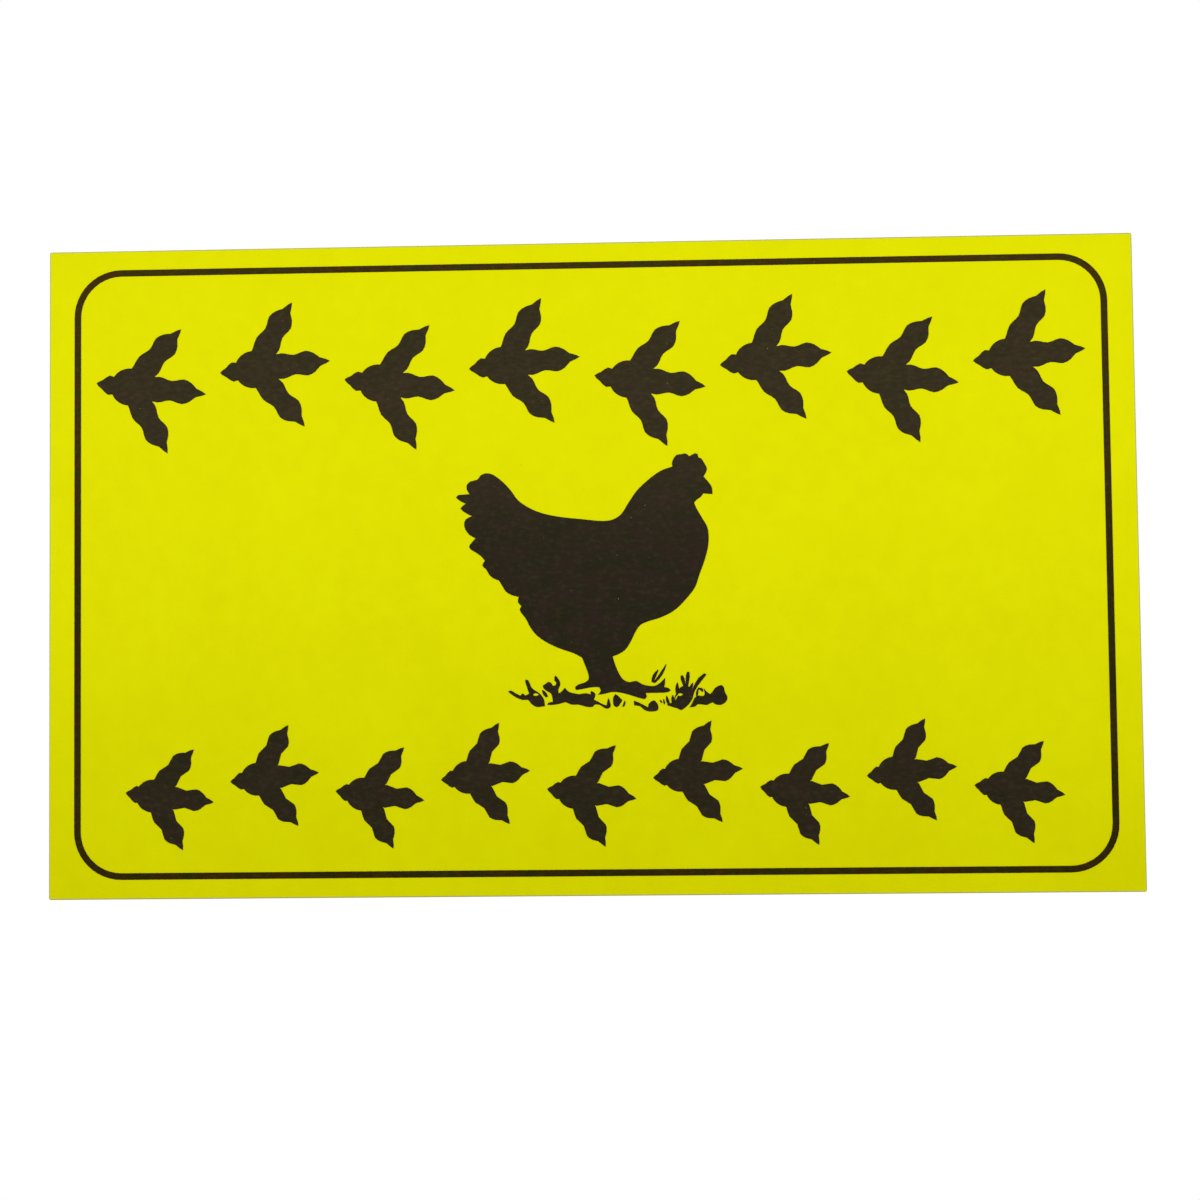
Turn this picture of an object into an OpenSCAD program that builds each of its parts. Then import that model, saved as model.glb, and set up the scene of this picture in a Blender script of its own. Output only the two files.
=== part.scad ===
// Chicken crossing sign: one thin plastic sheet, printed in one dark ink.
// It stands upright as it hangs: +X to the viewer's right, +Z up and -Y out of the front face.
// The origin is the middle of the flat back face.

/* [Sheet] */
// Width of the sheet
plate_w = 250; // [180:1:320]
// Height of the sheet
plate_h = 150; // [142:1:220]
// Thickness of the sheet
plate_t = 1.5; // [1:0.1:4]
// Radius of the sheet's four corners
corner_r = 0.5; // [0.3:0.1:5]
// Small bevel that the cutter leaves round the front face
edge_break = 0.2; // [0.1:0.05:0.4]

/* [Ink] */
// Thickness of the printed ink
ink_t = 0.1; // [0.05:0.01:0.3]

/* [Border line] */
// Width of the line
line_w = 1.5; // [0.8:0.1:2.5]
// Distance from the line to the sheet's left and right edges
line_side_gap = 5.9; // [2:0.1:8]
// Distance from the line to the sheet's top and bottom edges
line_end_gap = 4.5; // [2:0.1:6]
// Outer radius of the line's corners
line_r = 11; // [4:0.5:16]

/* [Hen and grass] */
// Length of the hen, from its tail to its beak
hen_len = 59; // [48:0.5:64]
// How far the hen and the grass stand to the right of the sheet's middle
picture_right = 1.2; // [-10:0.1:10]
// How far they stand below the sheet's middle
picture_drop = 0.8; // [-1:0.1:2]

/* [Rows of tracks] */
// Height of the upper row
upper_h = 34.7; // [24:0.1:38]
// Height of the lower row
lower_h = 28.4; // [20:0.1:32]
// Distance from the upper row to the border line at each end
upper_side_gap = 3.6; // [2:0.1:30]
// Distance from the lower row to the border line at each end
lower_side_gap = 10.4; // [2:0.1:30]
// Distance from the upper row down to the hen's comb
upper_row_gap = 1.8; // [1:0.1:4]
// Distance from the grass down to the lower row
lower_row_gap = 2.2; // [1:0.1:4]
// Width of a toe in the upper row
upper_toe_w = 6; // [3:0.1:7]
// Width of a toe in the lower row
lower_toe_w = 5.2; // [3:0.1:6]
// How far each track steps up or down from the middle of its row
sway = 1.8; // [0:0.1:4]
// Smallest gap between one track and the next
track_gap = 3; // [1:0.5:8]

/* [Hidden] */
$fn = 64;

YELLOW = [0.87, 0.87, 0.02];
INK = [0.18, 0.16, 0.11];

// Longest straight step along a curve
curve_step = 0.9;
grass_step = 0.7;
toe_step = 1.35;

// The inside of the border line, where the print is laid out
inner_w = plate_w - 2 * (line_side_gap + line_w);

// The hen and the grass are drawn together at life size
DRAWN_LEN = 59;
DRAWN_TOP = 26.6;
DRAWN_BOTTOM = -32.4;
picture_scale = hen_len / DRAWN_LEN;
picture_top = picture_scale * DRAWN_TOP - picture_drop;
picture_bottom = picture_scale * DRAWN_BOTTOM - picture_drop;

// A track's side toes spread from its middle toe, and its hind toe is shorter and slimmer
toe_spread = 54;
hind_share = 0.43;
step_turn = 6;
hind_width_share = 0.75;
// The pad where the toes meet: its radius as a share of a toe's width, and its number of sides
pad_share = 0.72;
PAD_SIDES = 32;

// Each run of an outline starts at a corner and passes smoothly through the rest of its points.
// The runs follow one another, clockwise from the top of the tail.
HEN = [
    // tail top, back and nape
    [[-26, 22.2], [-25.1, 22.6], [-24, 22.6], [-22.8, 22.1], [-20.8, 20.5], [-19, 18.5], [-17.5, 16.4],
     [-15, 14.6], [-12, 13.3], [-8, 12.4], [-3, 11.8], [2, 11.3], [4.3, 11.6], [6.2, 12.8],
     [8, 15.5], [10, 18.3], [13, 21], [15.5, 22.7]],
    // comb
    [[18.1, 23.6], [18, 24.4], [18.5, 25.6], [19.2, 26.3], [20.2, 26.4], [20.9, 26.6], [21.5, 26.4]],
    [[22, 25.9], [22.7, 26.3], [23.4, 26.6], [23.9, 26.4]],
    [[24.1, 25.6], [24.7, 25.4], [25.4, 24.3], [26, 23.1], [25.8, 22.2]],
    // beak
    [[25.2, 21.2], [26.4, 19.8], [27.1, 18.6]],
    [[27.2, 17.1], [26.2, 17.2]],
    // throat
    [[25.1, 17.3], [24.5, 16.5], [23.6, 15.9]],
    // breast and belly
    [[23, 15.2], [23.4, 14.1], [24.8, 11.6], [25.9, 9.6], [26.2, 7.4], [26, 5], [25.2, 2], [24, -1.2],
     [22.9, -4.2], [20.6, -7.1], [18, -9.5], [15, -11], [12, -11.9], [10.3, -12.7], [9.2, -14.2],
     [8.1, -16.4], [6.8, -18.3], [5.2, -19.3]],
    // front of the leg and top of the foot
    [[3.9, -19.8], [4.4, -21.5], [5.2, -23.5], [6.3, -25.1], [7.7, -25.7], [9.2, -25.4], [10.4, -26.1],
     [11.6, -26.5], [13.4, -26.6], [14.7, -25.9]],
    // claw and toe
    [[15.8, -24.8], [15.8, -25.8]],
    [[15.6, -26.9], [16.5, -27.1], [17.1, -27.6], [16.3, -28.1], [14, -28.2]],
    [[11.4, -28.2], [11.6, -29], [11.2, -29.6], [9.5, -29.2], [7.6, -28.6], [5.8, -28.1], [3.6, -27.9],
     [2, -28.3]],
    // hind toe and back of the leg
    [[0.4, -28.5], [1.1, -27.6], [0.8, -26.8], [-1, -26.8], [-3.4, -27.2], [-4.6, -27.3], [-4.8, -26.8],
     [-4, -26.1], [-2.4, -25.6], [-1.6, -24.8], [-1.8, -23.5], [-2.4, -21.8]],
    // belly to rump
    [[-3.1, -20], [-4.9, -19], [-8, -17.9], [-11, -16.5], [-13.4, -14.8], [-14.9, -12.9], [-15.9, -10.9],
     [-17, -9.5], [-17.3, -8.8]],
    // ruffled feathers under the tail
    [[-16.9, -8], [-17.7, -7.1]],
    [[-17.5, -5.9], [-19, -5.5], [-20.4, -4.7], [-21.2, -3.4]],
    [[-22, -2.1], [-23.4, -1.5], [-24.3, -0.6], [-24.9, 0.5], [-25.8, 1.4]],
    [[-25.2, 2.5], [-26.1, 3.6], [-27.4, 4.5], [-28.5, 5.2], [-28.8, 5.8], [-28.2, 6.7]],
    // tail feathers
    [[-27.3, 7.7], [-28.7, 8.5], [-29.6, 9.7], [-29.9, 11], [-29.5, 12.1]],
    [[-28.1, 12.8], [-29.6, 13.6], [-30.7, 14.6], [-30.2, 15.2]],
    [[-29.5, 15.7], [-30.9, 16.4], [-31.7, 17.2], [-31.2, 17.7], [-30.1, 17.8]],
    [[-28.6, 17.9], [-29.2, 18.9], [-29.2, 20], [-28.4, 20.8], [-26.8, 21.2]],
];

// Clumps of grass, left to right, each an outline made in the same way
CLUMPS = [
    // left tuft
    [[[-17.3, -28.5], [-16.8, -28]],
     [[-16.2, -28.5], [-15.3, -28.1]],
     [[-15.3, -28.1], [-15.7, -26.9], [-16, -25.9], [-16.2, -25.1], [-15.9, -24.8], [-15.5, -25],
      [-15.1, -25.8], [-14.8, -26.6], [-14.2, -27.2], [-13.2, -27.8], [-12.5, -28.5], [-11.9, -29.5]],
     [[-11.7, -31], [-13.8, -31.1], [-14.9, -30.3], [-15.6, -29.5], [-16.8, -29.5], [-18.3, -28.9],
      [-19.6, -28], [-20.1, -27.5], [-19.5, -27.3], [-18.5, -27.9]]],
    // long tuft behind the hind toe
    [[[-12.2, -26.3], [-11.6, -25.9], [-10.8, -25.4], [-10.3, -25.6]],
     [[-9.9, -26.3], [-9.3, -26.3]],
     [[-9, -25.6], [-9.5, -25.1], [-9.3, -24], [-8.7, -24.6], [-8.2, -25.5], [-8.2, -26.3], [-8.6, -27.2]],
     [[-8.5, -28.1], [-7.7, -27.5]],
     [[-7.1, -26.8], [-6.7, -27.3], [-6.1, -27.8], [-5, -28.1], [-3.8, -28.3], [-2.2, -28.1]],
     [[-1.3, -28.4], [-1.1, -27.6], [-0.5, -27.9], [-0.1, -28.5], [-0.3, -29.1]],
     [[-0.5, -29.6], [0.5, -30.1], [1.6, -30.7]],
     [[2.4, -30.9], [2.8, -29.3], [3.2, -30.2], [3.3, -31.3], [2.5, -31.7], [1.7, -31.4], [0.8, -30.8]],
     [[-0.3, -30.7], [-0.7, -31.2], [-1.7, -31.3], [-3, -31], [-4.1, -30.7], [-5.5, -30.7]],
     [[-7, -30.1], [-8.5, -30.5], [-9.9, -30.7]],
     [[-11.2, -30.7], [-10.9, -30.2]],
     [[-9.9, -30], [-10, -29], [-10.3, -28.1], [-11, -27.7], [-11.9, -27]]],
    // seed head under the foot
    [[[4.4, -28.4], [5.1, -28.8], [5.5, -29.3], [6, -29.8], [5.6, -30.4], [5.2, -31.1], [4.7, -31.4],
      [4.1, -31.1], [3.9, -30.3], [3.9, -29.2]]],
    // low tuft in front of the foot
    [[[8.6, -29.9], [9.6, -30.3], [10.8, -30.9]],
     [[11.9, -31.5], [11.9, -30.9], [12.4, -30.3], [13.2, -29.9], [13.8, -30.4], [14.2, -31.2],
      [14.1, -32.1], [13.3, -32.4], [11.9, -32.4], [10.9, -32], [10, -31.2]],
     [[8.7, -31]]],
    // bush
    [[[16.1, -31], [17.4, -30.3], [18.2, -28.6], [19.3, -27], [20.8, -26.6], [21.8, -27.6], [22.2, -29.1],
      [21.2, -30.8], [20.1, -31.8], [19.4, -32.2], [18.5, -31.8], [17.2, -31.4]]],
    // round tuft at the right end
    [[[21.3, -31.6], [21.9, -30.6], [22.5, -29.4]],
     [[23.2, -28.9], [24.7, -28.9]],
     [[24.6, -27.3], [25.2, -28]],
     [[26, -28.6], [26.5, -28.2], [27.1, -27.3], [27.9, -26.8], [28.7, -26.6], [29.2, -27.2],
      [29.4, -28.2], [29.9, -29.1], [29.9, -29.9], [29.4, -30.6], [28.5, -31.1], [27.3, -31]],
     [[26.6, -30.5], [25.9, -30.8], [25.3, -31.1], [24.4, -31], [23.2, -30.9], [22.6, -31.4]]],
];

// Width along a blade of grass, from its foot to its tip, as shares of its greatest width
POINTED = [0.6, 0.95, 1, 0.75, 0.2];
ROUNDED = [0.55, 0.65, 0.85, 1, 0.6];

// Single blades: foot, tip, greatest width, how far the blade bows to its left, and its widths
BLADES = [
    [[-11.2, -28.9], [-12.3, -27.3], 0.8, 0, POINTED],
    // open pair above the claw
    [[12.9, -25.8], [14.3, -22.9], 0.8, 0.2, POINTED],
    [[13.3, -25.9], [16.1, -21.7], 0.7, -0.25, POINTED],
    [[6.1, -31.3], [6.6, -29.9], 0.5, -0.1, POINTED],
    // left side of the bush
    [[15, -30.5], [14.6, -29.8], 0.4, 0, POINTED],
    [[15.6, -30.8], [15.4, -29.6], 0.4, 0, POINTED],
    [[16.7, -31], [16.1, -28.9], 0.7, 0.1, POINTED],
    [[17.7, -30.9], [17.5, -28.7], 0.7, 0.1, POINTED],
    [[18.7, -28.8], [18.6, -25.9], 0.9, 0.1, POINTED],
    // top of the bush
    [[20.5, -27.6], [19.6, -24.3], 0.9, 0, ROUNDED],
    [[20.7, -27.6], [21.1, -23.5], 0.9, 0, ROUNDED],
    [[21.3, -28.2], [22.1, -26], 0.8, 0, POINTED],
    [[21.8, -29.2], [25, -24], 1, 0.5, ROUNDED],
    // blade that curls over at the right
    [[23, -29.1], [23.4, -27.1], 0.5, 0.1, POINTED],
    [[23.2, -27.4], [24.4, -28], 0.7, 0.3, ROUNDED],
];

// Bare strokes inside the grass, in the same form
BARE_STROKES = [
    [[-14.3, -28.3], [-13.1, -28.3], 0.6, 0, POINTED],
    [[18.1, -29.8], [18.8, -28.7], 0.3, 0.1, POINTED],
    [[18.7, -28.7], [19.8, -28.6], 0.6, 0, POINTED],
];

// A point at the share t along the curve from p to q, which leaves p along u and reaches q along v
function curve_point(p, q, u, v, t) =
    let (span = norm(q - p))
    (2 * t ^ 3 - 3 * t ^ 2 + 1) * p + (t ^ 3 - 2 * t ^ 2 + t) * span * u
    + (3 * t ^ 2 - 2 * t ^ 3) * q + (t ^ 3 - t ^ 2) * span * v;

// The direction of a run at its point i, from the points on either side
function heading(run, i) =
    let (before = run[max(i - 1, 0)], after = run[min(i + 1, len(run) - 1)])
    (after - before) / (norm(run[i] - before) + norm(after - run[i]));

// The points of one run, without its last one
function smooth(run, step) = [
    for (i = [0 : len(run) - 2])
        let (pieces = ceil(norm(run[i + 1] - run[i]) / step))
        for (j = [0 : pieces - 1])
            curve_point(run[i], run[i + 1], heading(run, i), heading(run, i + 1), j / pieces)
];

// A closed outline: each run ends where the next one starts
function outline(runs, step) = [
    for (i = [0 : len(runs) - 1])
        each smooth(concat(runs[i], [runs[(i + 1) % len(runs)][0]]), step)
];

// Half of a toe's width along it, as shares: pads with a narrow joint before each, and a claw
FRONT_TOE = [[0, 0.48], [0.18, 0.4], [0.38, 0.5], [0.54, 0.38], [0.7, 0.48], [0.8, 0.36], [0.87, 0.17],
    [1, 0.02]];
HIND_TOE = [[0, 0.5], [0.3, 0.38], [0.62, 0.5], [0.82, 0.24], [1, 0.03]];

// A toe that lies along +X
function toe_points(side, length, width) =
    outline([
        [for (p = side) [length * p.x, -width * p.y]],
        [for (i = [len(side) - 2 : -1 : 0]) [length * side[i].x, width * side[i].y]],
    ], toe_step);

// A blade of grass, whose middle line bows to one side
function blade_points(foot, tip, width, bow, widths) =
    let (
        along = (tip - foot) / norm(tip - foot),
        left = [-along.y, along.x],
        last = len(widths) - 1,
        middle = [
            for (i = [0 : last])
                let (t = i / last) foot + t * (tip - foot) + 4 * t * (1 - t) * bow * left
        ]
    )
    concat(
        [for (i = [0 : last]) middle[i] + widths[i] * width / 2 * left],
        [for (i = [last : -1 : 0]) middle[i] - widths[i] * width / 2 * left]
    );

module rounded_rectangle(width, height, radius) {
    square([width - 2 * radius, height], center = true);
    square([width, height - 2 * radius], center = true);
    for (x = [-1, 1], y = [-1, 1])
        translate([x * (width / 2 - radius), y * (height / 2 - radius)]) circle(radius);
}

// A flat shape raised from a plane at the given depth in front of the back face
module slab(depth, thickness) {
    translate([0, -depth, 0]) rotate([90, 0, 0]) linear_extrude(thickness) children();
}

module printed() {
    color(INK) slab(plate_t, ink_t) children();
}

// The sheet's section across one direction, with both front edges broken
module edge_section(width) {
    half = width / 2;
    polygon([
        [-half, 0], [half, 0], [half, plate_t - edge_break],
        [half - edge_break, plate_t], [edge_break - half, plate_t], [-half, plate_t - edge_break],
    ]);
}

module sign_plate() {
    past = 2; // what the bevelled sections reach beyond the sheet
    color(YELLOW) rotate([90, 0, 0]) intersection() {
        linear_extrude(plate_t) rounded_rectangle(plate_w, plate_h, corner_r);
        rotate([90, 0, 0]) linear_extrude(plate_h + past, center = true) edge_section(plate_w);
        rotate([90, 0, 90]) linear_extrude(plate_w + past, center = true) edge_section(plate_h);
    }
}

module border_line() {
    outer_w = plate_w - 2 * line_side_gap;
    outer_h = plate_h - 2 * line_end_gap;
    printed() difference() {
        rounded_rectangle(outer_w, outer_h, line_r);
        rounded_rectangle(outer_w - 2 * line_w, outer_h - 2 * line_w, line_r - line_w);
    }
}

// The drawn picture at its size and in its place
module picture() {
    printed() translate([picture_right, -picture_drop]) scale(picture_scale) children();
}

module hen_silhouette() {
    picture() polygon(outline(HEN, curve_step));
}

module blade(values) {
    polygon(blade_points(values[0], values[1], values[2], values[3], values[4]));
}

module grass_tufts() {
    picture() difference() {
        union() {
            for (clump = CLUMPS) polygon(outline(clump, grass_step));
            for (values = BLADES) blade(values);
        }
        for (values = BARE_STROKES) blade(values);
    }
}

// One foot's mark, walking along +X, with the joint of its toes at the origin
module track(reach, toe_w) {
    circle(pad_share * toe_w, $fn = PAD_SIDES);
    for (a = [-toe_spread, 0, toe_spread]) rotate(a) polygon(toe_points(FRONT_TOE, reach, toe_w));
    rotate(180) polygon(toe_points(HIND_TOE, hind_share * reach, hind_width_share * toe_w));
}

// A row of left and right tracks, as many as fit between its two ends
module track_row(middle_z, height, toe_w, side_gap) {
    reach = (height / 2 - sway) / sin(toe_spread + step_turn);
    track_len = reach * (1 + hind_share);
    row_len = inner_w - 2 * side_gap;
    count = 1 + floor((row_len - track_len) / (track_len + track_gap));
    pitch = (row_len - track_len) / (count - 1);
    for (i = [0 : count - 1])
        translate([i * pitch - row_len / 2 + hind_share * reach, middle_z + (i % 2 == 0 ? -sway : sway)])
            rotate(i % 2 == 0 ? -step_turn : step_turn) track(reach, toe_w);
}

module upper_tracks() {
    middle = picture_top + upper_row_gap + upper_h / 2;
    printed() track_row(middle, upper_h, upper_toe_w, upper_side_gap);
}

module lower_tracks() {
    middle = picture_bottom - lower_row_gap - lower_h / 2;
    printed() track_row(middle, lower_h, lower_toe_w, lower_side_gap);
}

sign_plate();
border_line();
hen_silhouette();
grass_tufts();
upper_tracks();
lower_tracks();
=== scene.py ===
# %% [markdown]
# # A farmyard crossing sign
#
# The real sign is one thin sheet of fluorescent lemon plastic with a single brown-black ink printed
# on its front. Its shapes all come from the CAD model, which is loaded here as a fixed frame, and
# nothing of it is moved or reshaped. What Blender adds is how the thing looks: the soft light it is
# seen in, the sheen and grain of the plastic, its duller cut edges, the mottle of the ink, and the
# tiny flaws that every screen print has.
#
# Blender counts in metres, so a small length is written as so many times MM.

import math

import bmesh
import bpy
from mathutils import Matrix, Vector


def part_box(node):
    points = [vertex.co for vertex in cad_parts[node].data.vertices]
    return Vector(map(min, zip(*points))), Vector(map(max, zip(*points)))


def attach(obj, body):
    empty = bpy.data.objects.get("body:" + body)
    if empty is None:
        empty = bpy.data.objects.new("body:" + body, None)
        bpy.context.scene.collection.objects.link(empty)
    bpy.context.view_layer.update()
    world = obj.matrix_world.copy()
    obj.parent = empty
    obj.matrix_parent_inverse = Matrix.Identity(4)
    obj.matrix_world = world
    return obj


MM = 0.001
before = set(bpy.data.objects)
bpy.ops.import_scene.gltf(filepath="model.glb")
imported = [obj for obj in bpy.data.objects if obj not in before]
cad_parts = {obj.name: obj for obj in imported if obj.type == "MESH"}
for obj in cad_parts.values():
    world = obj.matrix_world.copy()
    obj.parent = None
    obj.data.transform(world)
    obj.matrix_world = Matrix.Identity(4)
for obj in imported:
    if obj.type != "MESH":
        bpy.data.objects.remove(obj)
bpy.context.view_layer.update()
print("nodes", sorted(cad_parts))

# %% [markdown]
# # Measure the sheet
#
# The masks of the materials below need to know where the sheet ends and where its faces are. These
# lengths could be typed in, but then they would be wrong as soon as the sheet is made in another
# size. Reading them off the node's own box keeps the materials right for any size.

# %% Measure the sheet
sheet_low, sheet_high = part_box("sign_plate")
HALF_WIDTH = (sheet_high.x - sheet_low.x) / 2
HALF_HEIGHT = (sheet_high.z - sheet_low.z) / 2
FRONT_Y, BACK_Y = sheet_low.y, sheet_high.y
print("sheet in mm", [round(v / MM, 2) for v in sheet_high - sheet_low])

# %% [markdown]
# # Place the camera
#
# The photograph was taken by hand, close up and nearly square on: the sheet's right side is a
# little taller than its left, and the whole is turned by less than a degree. A camera can be nudged
# until its picture looks right, but the sheet's known size is enough to work its place out, so the
# numbers below come from fitting the sheet's edges, the border line and the hen all at once. The
# real sheet bows by a few millimetres and the model is flat, so most of it agrees with the
# photograph to a pixel or two, and the upper left corner and the middle of the top edge to four.

# %% Place the camera
CAMERA_PLACE = (0.0129, -0.3827, -0.0226)
CAMERA_TURN = (92.2464, 0.6492, 1.6108)
camera = bpy.data.objects.new("camera", bpy.data.cameras.new("camera"))
bpy.context.scene.collection.objects.link(camera)
camera.data.lens = 50
camera.data.sensor_width = 36
camera.data.clip_start = 0.01
camera.location = CAMERA_PLACE
camera.rotation_euler = [math.radians(degrees) for degrees in CAMERA_TURN]
bpy.context.scene.camera = camera
print("camera at", CAMERA_PLACE, "m, turned by", CAMERA_TURN, "degrees")

# %% [markdown]
# # Write shader maths as Python
#
# Every material below is a tree of nodes. Adding each Math node and each link by hand makes long
# code that hides the idea. Instead, a Wire stands for one output of a node, and arithmetic on wires
# adds the Math nodes that it needs, so that a mask can be written as an ordinary expression. All
# other nodes come from the one method called node. The same class serves the world, the materials
# and the Geometry Nodes, because a Math node is the same in all of them.

# %% Write shader maths as Python
class Wire:
    """One output of a node. Arithmetic on wires adds Math nodes to their tree."""

    def __init__(self, tree, socket=None):
        self.tree, self.socket = tree, socket

    def node(self, kind, settings=None, inputs=None, output=0):
        """Adds a node, with its settings first and then its sockets' values or wires."""
        made = self.tree.nodes.new(kind)
        for name, value in (settings or {}).items():
            setattr(made, name, value)
        for name, value in (inputs or {}).items():
            if isinstance(value, Wire):
                self.tree.links.new(value.socket, made.inputs[name])
            else:
                made.inputs[name].default_value = value
        return Wire(self.tree, made.outputs[output] if made.outputs else None)

    def math(self, operation, first, second=0.0):
        return self.node("ShaderNodeMath", {"operation": operation}, {0: first, 1: second})

    def __add__(self, other):
        return self.math("ADD", self, other)

    def __sub__(self, other):
        return self.math("SUBTRACT", self, other)

    def __rsub__(self, other):
        return self.math("SUBTRACT", other, self)

    def __mul__(self, other):
        return self.math("MULTIPLY", self, other)

    def __pow__(self, other):
        return self.math("POWER", self, other)

    def __abs__(self):
        return self.math("ABSOLUTE", self)

    def smaller(self, other):
        return self.math("MINIMUM", self, other)

    def larger(self, other):
        return self.math("MAXIMUM", self, other)

    def rise(self, low, high):
        """0 below low, 1 above high and a smooth step in between."""
        return self.node("ShaderNodeMapRange", {"interpolation_type": "SMOOTHSTEP"},
                         {"Value": self, "From Min": low, "From Max": high})

    __radd__, __rmul__ = __add__, __mul__


print("besides arithmetic, a wire has", [name for name in vars(Wire) if name[0] != "_"])

# %% [markdown]
# # Light the sheet softly
#
# In the photograph the yellow is brightest along the top and about a fifth darker along the bottom,
# with no difference from left to right and no highlight. A long softbox close to the sheet and
# level with its upper half does that: close, so that its light falls off down the sheet, and wide,
# so that it doesn't from side to side. So near a light can be dim, and its mirror image is no
# brighter than the white room, which is why no highlight shows. A second lamp, farther off behind
# the sheet, keeps its plain back readable in other views. Both are set so that a colour comes out
# about as it is written.

# %% Light the sheet softly
def add_softbox(name, place, width, height, watts, colour):
    """A rectangular lamp that faces the middle of the sheet."""
    lamp = bpy.data.lights.new(name, "AREA")
    lamp.shape = "RECTANGLE"
    lamp.size, lamp.size_y = width, height
    lamp.energy = watts
    lamp.color = colour
    holder = bpy.data.objects.new(name, lamp)
    holder.location = place
    holder.rotation_euler = (-Vector(place)).to_track_quat("-Z", "Y").to_euler()
    holder.visible_camera = False
    bpy.context.scene.collection.objects.link(holder)
    print(name, watts, "W,", round(Vector(place).length, 2), "m away")


add_softbox("key_softbox", place=(0.0, -0.26, 0.08), width=1.4, height=0.18,
            watts=1.975, colour=(0.995, 1.0, 0.97))
add_softbox("back_softbox", place=(0.25, 1.0, 0.5), width=1.0, height=0.8,
            watts=11.0, colour=(1.0, 1.0, 1.0))

# %% [markdown]
# # Surround it with white
#
# The photograph's background is pure white, but a world that shone white on everything would wash
# out the light's slope. The Light Path node tells the two apart: rays from the camera, and rays
# that a surface mirrors or lets through, see a world of strength 1, which is white, while the light
# that falls on a surface comes from a dimmer one.

# %% Surround it with white
AMBIENT = 0.22
WHITE = (1, 1, 1, 1)


def seen_directly(start):
    """1 for what the camera sees, also in a mirror or through glass, and 0 for light on things."""
    rays = [start.node("ShaderNodeLightPath", output=f"Is {kind} Ray")
            for kind in ("Camera", "Glossy", "Transmission")]
    return rays[0].larger(rays[1]).larger(rays[2])


world = bpy.data.worlds.new("white_room")
world.use_nodes = True
world.node_tree.nodes.clear()
room = Wire(world.node_tree)
strength = AMBIENT + (1 - AMBIENT) * seen_directly(room)
background = room.node("ShaderNodeBackground", None, {"Color": WHITE, "Strength": strength})
room.node("ShaderNodeOutputWorld", None, {"Surface": background})
bpy.context.scene.world = world
bpy.context.scene.view_settings.view_transform = "Standard"
print("world strength on surfaces", AMBIENT)

# %% [markdown]
# # Lay a floor
#
# The sign is made to be fixed to a wall, so it hangs in its own frame and the floor lies well below
# it, out of the photograph's view. In other views it catches the sign's soft shadow. A square floor
# would show its corners, so it is a disc with the sign over its middle.

# %% Lay a floor
FLOOR_Z, FLOOR_RADIUS = -0.5, 0.95
disc = bmesh.new()
bmesh.ops.create_circle(disc, cap_ends=True, segments=96, radius=FLOOR_RADIUS)
bmesh.ops.translate(disc, vec=(0, 0, FLOOR_Z), verts=disc.verts)
floor_mesh = bpy.data.meshes.new("floor")
disc.to_mesh(floor_mesh)
disc.free()
floor = bpy.data.objects.new("floor", floor_mesh)
bpy.context.scene.collection.objects.link(floor)
print("floor", FLOOR_Z, "m, radius", FLOOR_RADIUS, "m")

# %% [markdown]
# # Paint the floor pale
#
# The rim of the disc fades to the world's white, so that no edge of it shows. Towards the rim, and
# partly in the middle, what the camera sees of the floor is a plain white glow instead of lit
# paint. The glow is only seen, directly or mirrored, and lights nothing: what light falls on the
# sign from below comes from the paint.

# %% Paint the floor pale
FLOOR_COLOUR, MIDDLE_GLOW = (0.9, 0.9, 0.89, 1), 0.55
FADE_START, FADE_END = 0.5 * FLOOR_RADIUS, 0.97 * FLOOR_RADIUS
floor_paint = bpy.data.materials.new("floor_paint")
floor_paint.use_nodes = True
floor_paint.node_tree.nodes.clear()
paint = Wire(floor_paint.node_tree)
place = paint.node("ShaderNodeTexCoord", output="Object")
from_middle = paint.node("ShaderNodeVectorMath", {"operation": "DISTANCE"},
                         {0: place, 1: (0, 0, FLOOR_Z)}, output="Value")
glow = MIDDLE_GLOW + (1 - MIDDLE_GLOW) * from_middle.rise(FADE_START, FADE_END)
lit = paint.node("ShaderNodeBsdfDiffuse", None, {"Color": FLOOR_COLOUR})
white = paint.node("ShaderNodeEmission", None, {"Color": WHITE, "Strength": 1.0})
mixed = paint.node("ShaderNodeMixShader", None,
                   {0: glow * seen_directly(paint), 1: lit, 2: white})
paint.node("ShaderNodeOutputMaterial", None, {"Surface": mixed})
floor.data.materials.append(floor_paint)
print(floor_paint.name, len(floor_paint.node_tree.nodes), "nodes")

# %% [markdown]
# # Begin the lemon plastic
#
# The sheet is dyed right through and has a satin face. Its material is one tree of nodes, which the
# next cells build up. Every pattern in it reads Object coordinates, which are the model's own
# metres, so it is fixed to the sheet however the sheet is seen. The ink will begin in the same way,
# and so has the same grain on each piece of the print.

# %% Begin the lemon plastic
def begin_finish(name):
    """A new material with an empty tree, and the wire that gives a point's place in metres."""
    finish = bpy.data.materials.new(name)
    finish.use_nodes = True
    finish.node_tree.nodes.clear()
    return finish, Wire(finish.node_tree).node("ShaderNodeTexCoord", output="Object")


lemon_plastic, place = begin_finish("lemon_plastic")
print("begun", lemon_plastic.name)

# %% [markdown]
# # Find the cut and the back
#
# Where the sheet was cut, its plastic looks different, and so does its back. Each could be a piece
# of its own, but it is all the same plastic, so masks find them: the cut by its nearness, which is
# the smaller of a point's distances to the sides and to the ends, and its front edge and the back
# by their depth. A mask is 1 where the place is and fades to 0 over a fraction of a millimetre.

# %% Find the cut and the back
CUT_NEAR, CUT_FAR = 0.10 * MM, 0.42 * MM
EDGE_NEAR, EDGE_FAR = 0.15 * MM, 0.45 * MM
BACK_FAR, BACK_NEAR = 0.10 * MM, 0.02 * MM


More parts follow.
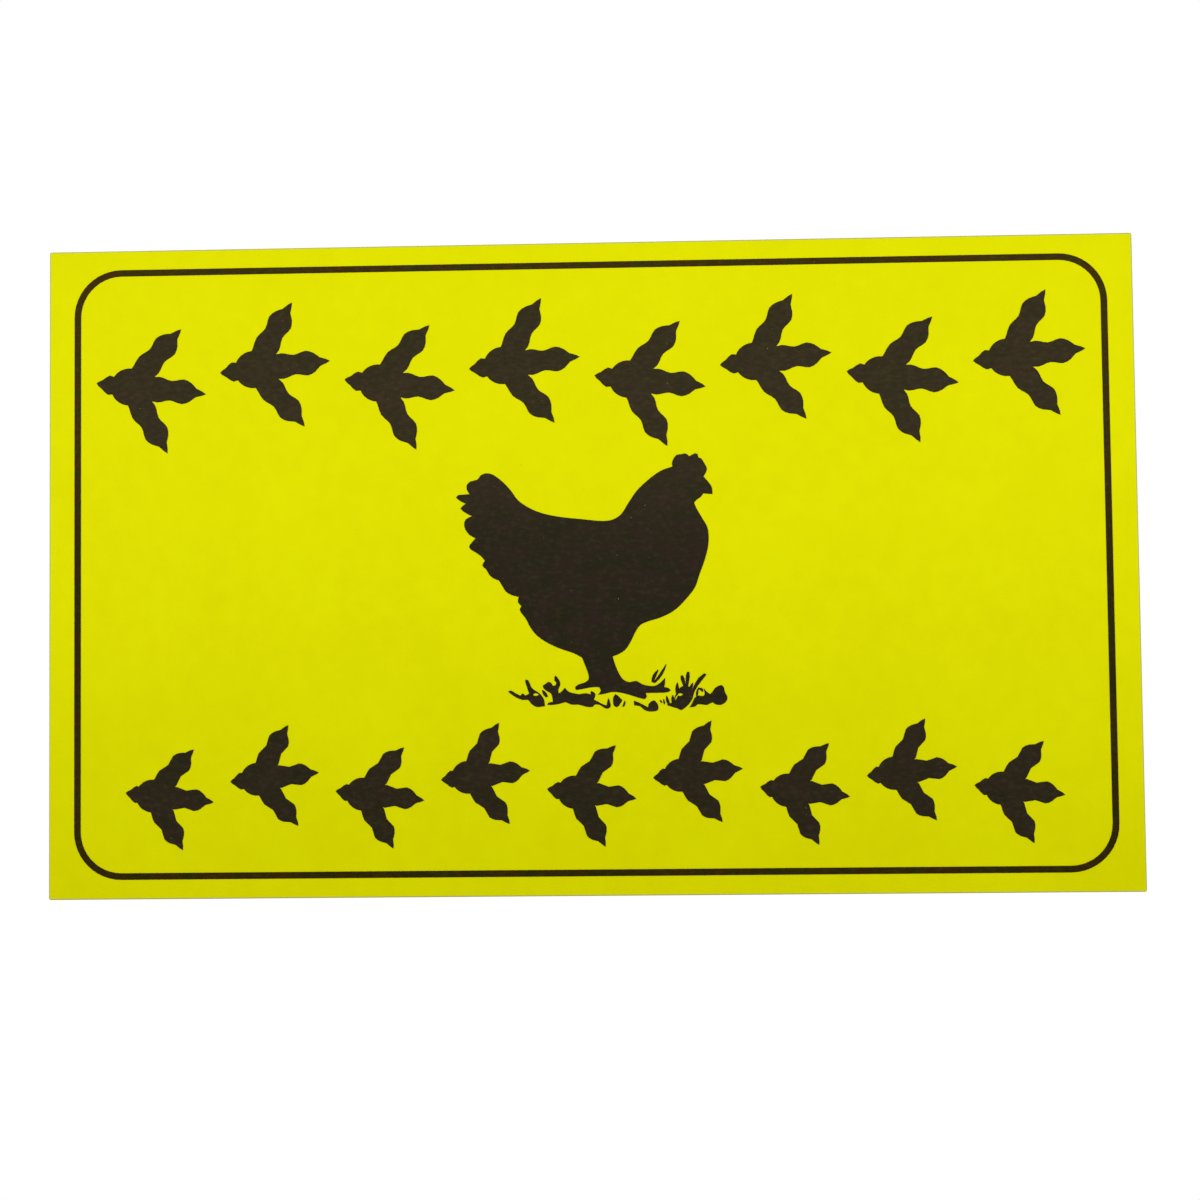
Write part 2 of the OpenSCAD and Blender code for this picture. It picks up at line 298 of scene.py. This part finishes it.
def along(place, axis):
    """How far a point lies along X, Y or Z."""
    return place.node("ShaderNodeSeparateXYZ", None, {"Vector": place}, output=axis)


def from_cut(place):
    """How far a point lies from the sheet's nearest cut."""
    return (HALF_WIDTH - abs(along(place, "X"))).smaller(HALF_HEIGHT - abs(along(place, "Z")))


cut = 1 - from_cut(place).rise(CUT_NEAR, CUT_FAR)
front_edge = cut * (1 - along(place, "Y").rise(FRONT_Y + EDGE_NEAR, FRONT_Y + EDGE_FAR))
back = along(place, "Y").rise(BACK_Y - BACK_FAR, BACK_Y - BACK_NEAR)
# The print below gives how far the painted shade on the cut and along the front edge reaches.
print("painted_cut_shade reach", CUT_FAR / MM, "mm in from the cut, painted_edge_shade", EDGE_FAR / MM, "mm back")

# %% [markdown]
# # Grain the plastic
#
# Seen close, the plastic isn't one flat colour: it is clouded by a percent or so over a few
# centimetres, mottled over a few millimetres and grained under one, and its skin has the faint peel
# of rolled plastic. The blade that cut it left marks across the cut. Noise gives each of them, and
# saying how many millimetres across its lumps are is easier to judge than a scale.

# %% Grain the plastic
def lumps(place, millimetres, detail=2.0, stretch=(1, 1, 1)):
    """Noise from 0 to 1 whose lumps are about that size, or longer along a stretched axis."""
    shrunk = place.node("ShaderNodeMapping", None,
                        {"Vector": place, "Scale": [1 / times for times in stretch]})
    return place.node("ShaderNodeTexNoise", None,
                      {"Vector": shrunk, "Scale": 1000 / millimetres, "Detail": detail})


clouds = lumps(place, 26, detail=1.5)
mottle = lumps(place, 4.0, detail=2.0)
grain = lumps(place, 0.5, detail=1.0)
peel = lumps(place, 2.2, detail=1.0)
blade_marks = lumps(place, 0.35, detail=2.0, stretch=(1, 14, 1)).rise(0.32, 0.68)
print("masks and patterns", len(lemon_plastic.node_tree.nodes), "nodes")

# %% [markdown]
# # Colour the plastic
#
# Clouds, mottle and grain together mix a deep lemon and a bright one. The back is a little duller.
# Where it was cut, the plastic is painted darker and less yellow, as a cut face in shade looks, and
# streaked by the blade; along the front edge, patches of painted shade darken it further.
#
# A Mix node has one set of sockets for numbers, one for vectors and one for colours, all under the
# same names, so those for colours are picked by their place in the row.

# %% Colour the plastic
MIX_SHARE, MIX_FIRST, MIX_SECOND, MIX_RESULT = 0, 6, 7, 2
LEMON_DEEP, LEMON_BRIGHT = (0.688, 0.682, 0.0002, 1), (0.735, 0.735, 0.0005, 1)
LEMON_BACK = (0.690, 0.670, 0.004, 1)
# The cut's colour and the front edge's colour below are painted shade, darker than the lemon as a
# cut face in shadow is.
CUT_SHADE, EDGE_SHADE = (0.570, 0.555, 0.130, 1), (0.400, 0.380, 0.120, 1)


def blend(share, first, second, kind="MIX"):
    """A share of the second colour mixed into the first, or multiplied with it."""
    return share.node("ShaderNodeMix", {"data_type": "RGBA", "blend_type": kind},
                      {MIX_SHARE: share, MIX_FIRST: first, MIX_SECOND: second},
                      output=MIX_RESULT)


tone = (0.5 + 0.8 * (clouds - 0.5) + 0.8 * (mottle - 0.5) + 0.4 * (grain - 0.5)).rise(0, 1)
colour = blend(tone, LEMON_DEEP, LEMON_BRIGHT)
colour = blend(0.6 * back, colour, LEMON_BACK)
# Painted shade on the cut faces, streaked along the blade's marks.
colour = blend(cut * (0.2 + 0.6 * blade_marks + 0.3 * clouds).smaller(1), colour, CUT_SHADE)
# Painted shade in patches along the front edge.
colour = blend(front_edge * (0.1 + 0.75 * clouds), colour, EDGE_SHADE)
print("with its colours", len(lemon_plastic.node_tree.nodes), "nodes")

# %% [markdown]
# # Give the plastic its sheen
#
# The front was rolled smooth, so the back has more grain and less sheen, and the cut has less
# still. One height from 0 to 1 holds all the bumps, and the depth says how deep they are on the
# real sheet. A dye this strong reaches past what a screen can show, so its reflections are tinted
# too, or a veil of white would rob it of its strength. The tint, the reflection's level and all
# else that is the same everywhere are set on the shader's own sockets.

# %% Give the plastic its sheen
def end_finish(finish, sockets, height, depth):
    """Adds the shader, bumped by a height from 0 to 1 that stands for a depth in metres."""
    start = Wire(finish.node_tree)
    bump = start.node("ShaderNodeBump", None, {"Height": height, "Distance": depth})
    shader = start.node("ShaderNodeBsdfPrincipled", None, {**sockets, "Normal": bump})
    start.node("ShaderNodeOutputMaterial", None, {"Surface": shader})
    print(finish.name, len(finish.node_tree.nodes), "nodes, bumps of", round(depth / MM, 3), "mm")


roughness = 0.40 + 0.10 * (clouds - 0.5) + 0.12 * (grain - 0.5) + 0.10 * back + 0.16 * cut
height = 0.5 * peel + (0.12 + 0.30 * back) * grain + 0.8 * cut * blade_marks
end_finish(lemon_plastic, {
    "Base Color": colour, "Roughness": roughness,
    "Specular IOR Level": 0.22, "Specular Tint": (1.0, 1.0, 0.01, 1),
}, height, depth=0.010 * MM)

# %% [markdown]
# # Mottle the ink
#
# Screen ink lies on the sheet in a thin satin coat. In the photograph it is a warm brown-black, and
# a close look shows it mottled: browner and more olive patches a few millimetres across, with a
# finer mottle under a millimetre, longer from side to side, the way the squeegee was drawn. One
# colour with noise over it would only get lighter and darker. Mixing a brown and an olive by one
# pattern, and light and dark by another, varies the hue and the depth apart.

# %% Mottle the ink
screen_ink, place = begin_finish("screen_ink")
patches = lumps(place, 3.2, detail=2.0, stretch=(1.5, 1, 1))
mottle = lumps(place, 0.9, detail=2.5, stretch=(1.8, 1, 1))
grain = lumps(place, 0.22, detail=1.0)

BROWN, OLIVE = (0.0145, 0.0083, 0.0060, 1), (0.0083, 0.0078, 0.0030, 1)
THIN_INK = (0.0340, 0.0280, 0.0150, 1)
hue = patches.rise(0.32, 0.68)
thin = (mottle - 0.42 + 0.55 * (grain - 0.5)).rise(0, 0.6)
colour = blend(thin * 0.85, blend(hue, BROWN, OLIVE), THIN_INK)
print("the ink's mottle has", len(screen_ink.node_tree.nodes), "nodes")

# %% [markdown]
# # The dark ink
#
# The coat is full in the middle of the sheet, and fainter and more uneven in the upper row and,
# less so, in the lower one. A narrow line takes less ink than a broad field, so the border is the
# brownest of all: the yellow under it warms it. The border is found by its nearness to the cut,
# since no other part of the print comes so close, and its colour is multiplied by warm ones, so
# that it keeps its mottle. The whole coat is thin, so its bumps are small, and its sheen is duller
# than the plastic's.

# %% The dark ink
FAINT_INK = (0.0600, 0.0440, 0.0160, 1)
UPPER_FAINTNESS, UPPER_START, UPPER_FULL = 0.235, 0, 36 * MM
LOWER_FAINTNESS, LOWER_START, LOWER_FULL = 0.10, 26 * MM, 38 * MM
up = along(place, "Z")
faint = (UPPER_FAINTNESS * up.rise(UPPER_START, UPPER_FULL)
         + LOWER_FAINTNESS * (0 - up).rise(LOWER_START, LOWER_FULL))
uneven = 1 + 1.8 * (mottle - 0.5) + 1.4 * (grain - 0.5)
colour = blend(faint * uneven, colour, FAINT_INK)

LINE_BROWN, LINE_OLIVE = (1.38, 0.92, 0.0, 1), (1.12, 1.18, 0.0, 1)
LINE_ENDS, NEXT_INK = 9.5 * MM, 10.8 * MM
line = 1 - from_cut(place).rise(LINE_ENDS, NEXT_INK)
colour = blend(line, colour, blend(hue, LINE_BROWN, LINE_OLIVE), "MULTIPLY")

roughness = 0.52 + 0.16 * (mottle - 0.5) + 0.10 * (grain - 0.5)
height = 0.6 * mottle + 0.4 * grain
end_finish(screen_ink, {
    "Base Color": colour, "Roughness": roughness,
    "Specular IOR Level": 0.078, "Specular Tint": (1.0, 0.85, 0.55, 1),
}, height, depth=0.008 * MM)

# %% [markdown]
# # Give each node its finish
#
# The CAD nodes have the right shapes, so they stay as they are and only their material slots
# change. The print is one ink, so all five of its nodes share one material.

# %% Give each node its finish
PRINT_NODES = ["border_line", "hen_silhouette", "grass_tufts", "upper_tracks", "lower_tracks"]


def give_finish(name, finish):
    """Puts one finish on all of a CAD node."""
    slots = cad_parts[name].data.materials
    slots.clear()
    slots.append(finish)
    print(name, finish.name)


give_finish("sign_plate", lemon_plastic)
for name in PRINT_NODES:
    give_finish(name, screen_ink)

# %% [markdown]
# # Flaws of the print
#
# Dust on a screen leaves pinholes in the ink, where the yellow shows through, and a flick of ink
# leaves a stray dot on bare plastic. The photograph shows a few of both as faint specks, narrower
# than one of its pixels, about a quarter of a millimetre. They could be painted into the materials,
# but real dots have a hard edge at any distance, and being scattered over a surface by a rule is
# what Geometry Nodes are for.
#
# One tree makes both. It scatters points over the front of a surface, drops those too near the
# walls of the print, puts a small flat lens on each that is left, and gives them their finish. Its
# seed is fixed, so every run gives the same dots. It begins with its named inputs.

# %% Flaws of the print
DOT_INPUTS = {
    "Surface": "Geometry", "Print": "Object", "Count Per Square Metre": "Float",
    "Smallest": "Float", "Largest": "Float", "Clearance": "Float", "Thickness": "Float",
    "Seed": "Int", "Finish": "Material"}
dot_tree = bpy.data.node_groups.new("scatter_dots", "GeometryNodeTree")
for name, kind in DOT_INPUTS.items():
    dot_tree.interface.new_socket(name, in_out="INPUT", socket_type="NodeSocket" + kind)
dot_tree.interface.new_socket("Dots", in_out="OUTPUT", socket_type="NodeSocketGeometry")
start = Wire(dot_tree)
given = {name: start.node("NodeGroupInput", output=name) for name in DOT_INPUTS}
print("inputs", sorted(given))

# %% [markdown]
# # Points on the front
#
# Dots belong on faces that look forward, which is towards -Y, and not on the sheet's back or on the
# print's thin walls. A face's normal tells which way it looks, and its Y is -1 on the front, 1 on
# the back and 0 on a wall.

# %% Points on the front
LOOKS_FORWARD = -0.9


def is_below(value, limit):
    """True where a value is below a limit."""
    return start.node("FunctionNodeCompare", {"operation": "LESS_THAN"}, {"A": value, "B": limit})


ahead = along(start.node("GeometryNodeInputNormal"), "Y")
points = start.node("GeometryNodeDistributePointsOnFaces", None, {
    "Mesh": given["Surface"], "Selection": is_below(ahead, LOOKS_FORWARD),
    "Density": given["Count Per Square Metre"], "Seed": given["Seed"]})
print("points on the front", len(dot_tree.nodes), "nodes")

# %% [markdown]
# # Keep clear of the print's outline
#
# A pinhole that crossed the ink's outline would hang over bare plastic, and a stray dot would run
# into the ink's wall. The walls of the print are its outline, so they are picked out by their
# normals, and Proximity gives each point's distance to the nearest of them.

# %% Keep clear of the print's outline
LOOKS_SIDEWAYS = 0.5
printed = start.node("GeometryNodeObjectInfo", None, {"Object": given["Print"]}, output="Geometry")
walls = start.node("GeometryNodeSeparateGeometry", {"domain": "FACE"}, {
    "Geometry": printed, "Selection": is_below(abs(ahead), LOOKS_SIDEWAYS)})
to_wall = start.node("GeometryNodeProximity", {"target_element": "FACES"}, {0: walls},
                     output="Distance")
points = start.node("GeometryNodeDeleteGeometry", {"domain": "POINT"}, {
    "Geometry": points, "Selection": is_below(to_wall, given["Clearance"])})
print("and clear of the outline", len(dot_tree.nodes), "nodes")

# %% [markdown]
# # A lens on each point
#
# Each dot is a flat lens. One random number sizes it, a second makes it a little oval and a third
# turns it. Raising the first to the third power keeps most dots tiny and lets a few be large. A
# lens needs few faces, because none is wider than a hair or two. A Random Value node, like a Mix
# node, has sockets of several kinds under the same names, and those for numbers are picked by their
# place.

# %% A lens on each point
RANDOM_LOW, RANDOM_HIGH, RANDOM_RESULT = 2, 3, 1
LENS_SEGMENTS, LENS_RINGS = 10, 5
FACES_PER_DOT = LENS_SEGMENTS * LENS_RINGS
LEAST_HEIGHT = 0.55


def chance(shift, low, high):
    """A random number for each point, from a seed of its own."""
    return start.node("FunctionNodeRandomValue", {"data_type": "FLOAT"},
                      {RANDOM_LOW: low, RANDOM_HIGH: high, "Seed": given["Seed"] + shift},
                      output=RANDOM_RESULT)


width = given["Smallest"] + (given["Largest"] - given["Smallest"]) * chance(1, 0.0, 1.0) ** 3
size = start.node("ShaderNodeCombineXYZ", None, {
    "X": width, "Y": given["Thickness"], "Z": width * chance(2, LEAST_HEIGHT, 1.0)})
turn = start.node("ShaderNodeCombineXYZ", None, {"Y": chance(3, 0.0, math.pi)})
lens = start.node("GeometryNodeMeshUVSphere", None, {
    "Segments": LENS_SEGMENTS, "Rings": LENS_RINGS, "Radius": 0.5})
dots = start.node("GeometryNodeInstanceOnPoints", None, {
    "Points": points, "Instance": lens, "Rotation": turn, "Scale": size})
print("a dot has", FACES_PER_DOT, "faces")

# %% [markdown]
# # End the tree
#
# Instances are dropped by an export, so they are made real. The dots are then shaded smooth and
# given their finish, and the tree is complete.

# %% End the tree
dots = start.node("GeometryNodeRealizeInstances", None, {"Geometry": dots})
dots = start.node("GeometryNodeSetShadeSmooth", None, {"Geometry": dots})
dots = start.node("GeometryNodeSetMaterial", None, {
    "Geometry": dots, "Material": given["Finish"]})
start.node("NodeGroupOutput", None, {"Dots": dots})
print(dot_tree.name, len(dot_tree.nodes), "nodes")

# %% [markdown]
# # Copy the surfaces
#
# The tree needs surfaces to work on. The sheet and the print are CAD meshes, which may not be
# changed, so copies of them are merged into helpers that are thrown away afterwards. The print is
# copied twice, because a tree can't look at the object that it works on.

# %% Copy the surfaces
MERGE_WITHIN = 0.001 * MM


def helper_copy(name, nodes):
    """One merged mesh from copies of CAD nodes, in an object that isn't shown."""
    joined = bmesh.new()
    for node in nodes:
        joined.from_mesh(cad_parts[node].data)
    bmesh.ops.remove_doubles(joined, verts=joined.verts, dist=MERGE_WITHIN)
    mesh = bpy.data.meshes.new(name)
    joined.to_mesh(mesh)
    joined.free()
    helper = bpy.data.objects.new(name, mesh)
    helper.hide_render = True
    bpy.context.scene.collection.objects.link(helper)
    print(name, len(mesh.vertices), "points")
    return helper


bare_sheet = helper_copy("bare_sheet", ["sign_plate"])
inked = helper_copy("inked", PRINT_NODES)
outline = helper_copy("outline", PRINT_NODES)

# %% [markdown]
# # Scatter the dots
#
# The tree runs once on the print, for the pinholes, and once on the sheet, for the stray dots. Each
# result is turned into a plain mesh, because an export keeps meshes and drops live nodes, and the
# empty material slot that a new sphere brings with it is cleared. Then the helpers go, and the dots
# are told which body they ride on.

# %% Scatter the dots
def scatter(name, surface, values):
    """Runs the tree on a surface and returns its dots as a plain object."""
    modifier = surface.modifiers.new(name, "NODES")
    modifier.node_group = dot_tree
    for socket in dot_tree.interface.items_tree:
        if socket.name in values:
            modifier[socket.identifier] = values[socket.name]
    bpy.context.view_layer.update()
    evaluated = surface.evaluated_get(bpy.context.evaluated_depsgraph_get())
    mesh = bpy.data.meshes.new_from_object(evaluated)
    surface.modifiers.remove(modifier)
    mesh.materials.clear()
    mesh.materials.append(values["Finish"])
    dots = bpy.data.objects.new(name, mesh)
    bpy.context.scene.collection.objects.link(dots)
    print(name, len(mesh.polygons) // FACES_PER_DOT, "dots,", len(mesh.polygons), "faces")
    return dots


sizes = {"Print": outline, "Thickness": 0.03 * MM, "Clearance": 0.3 * MM, "Largest": 0.14 * MM}
pinholes = scatter("pinholes", inked, {
    **sizes, "Count Per Square Metre": 16000.0, "Smallest": 0.03 * MM,
    "Seed": 4, "Finish": lemon_plastic})
stray_dots = scatter("stray_dots", bare_sheet, {
    **sizes, "Count Per Square Metre": 700.0, "Smallest": 0.04 * MM,
    "Seed": 9, "Finish": screen_ink})
for helper in (bare_sheet, inked, outline):
    bpy.data.objects.remove(helper)
for dots, slot in ((pinholes, "yellow_plastic"), (stray_dots, "dark_ink")):
    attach(dots, "root")

# %% [markdown]
# Keep the size
#
# The dressed model has to stay as big as the CAD model.
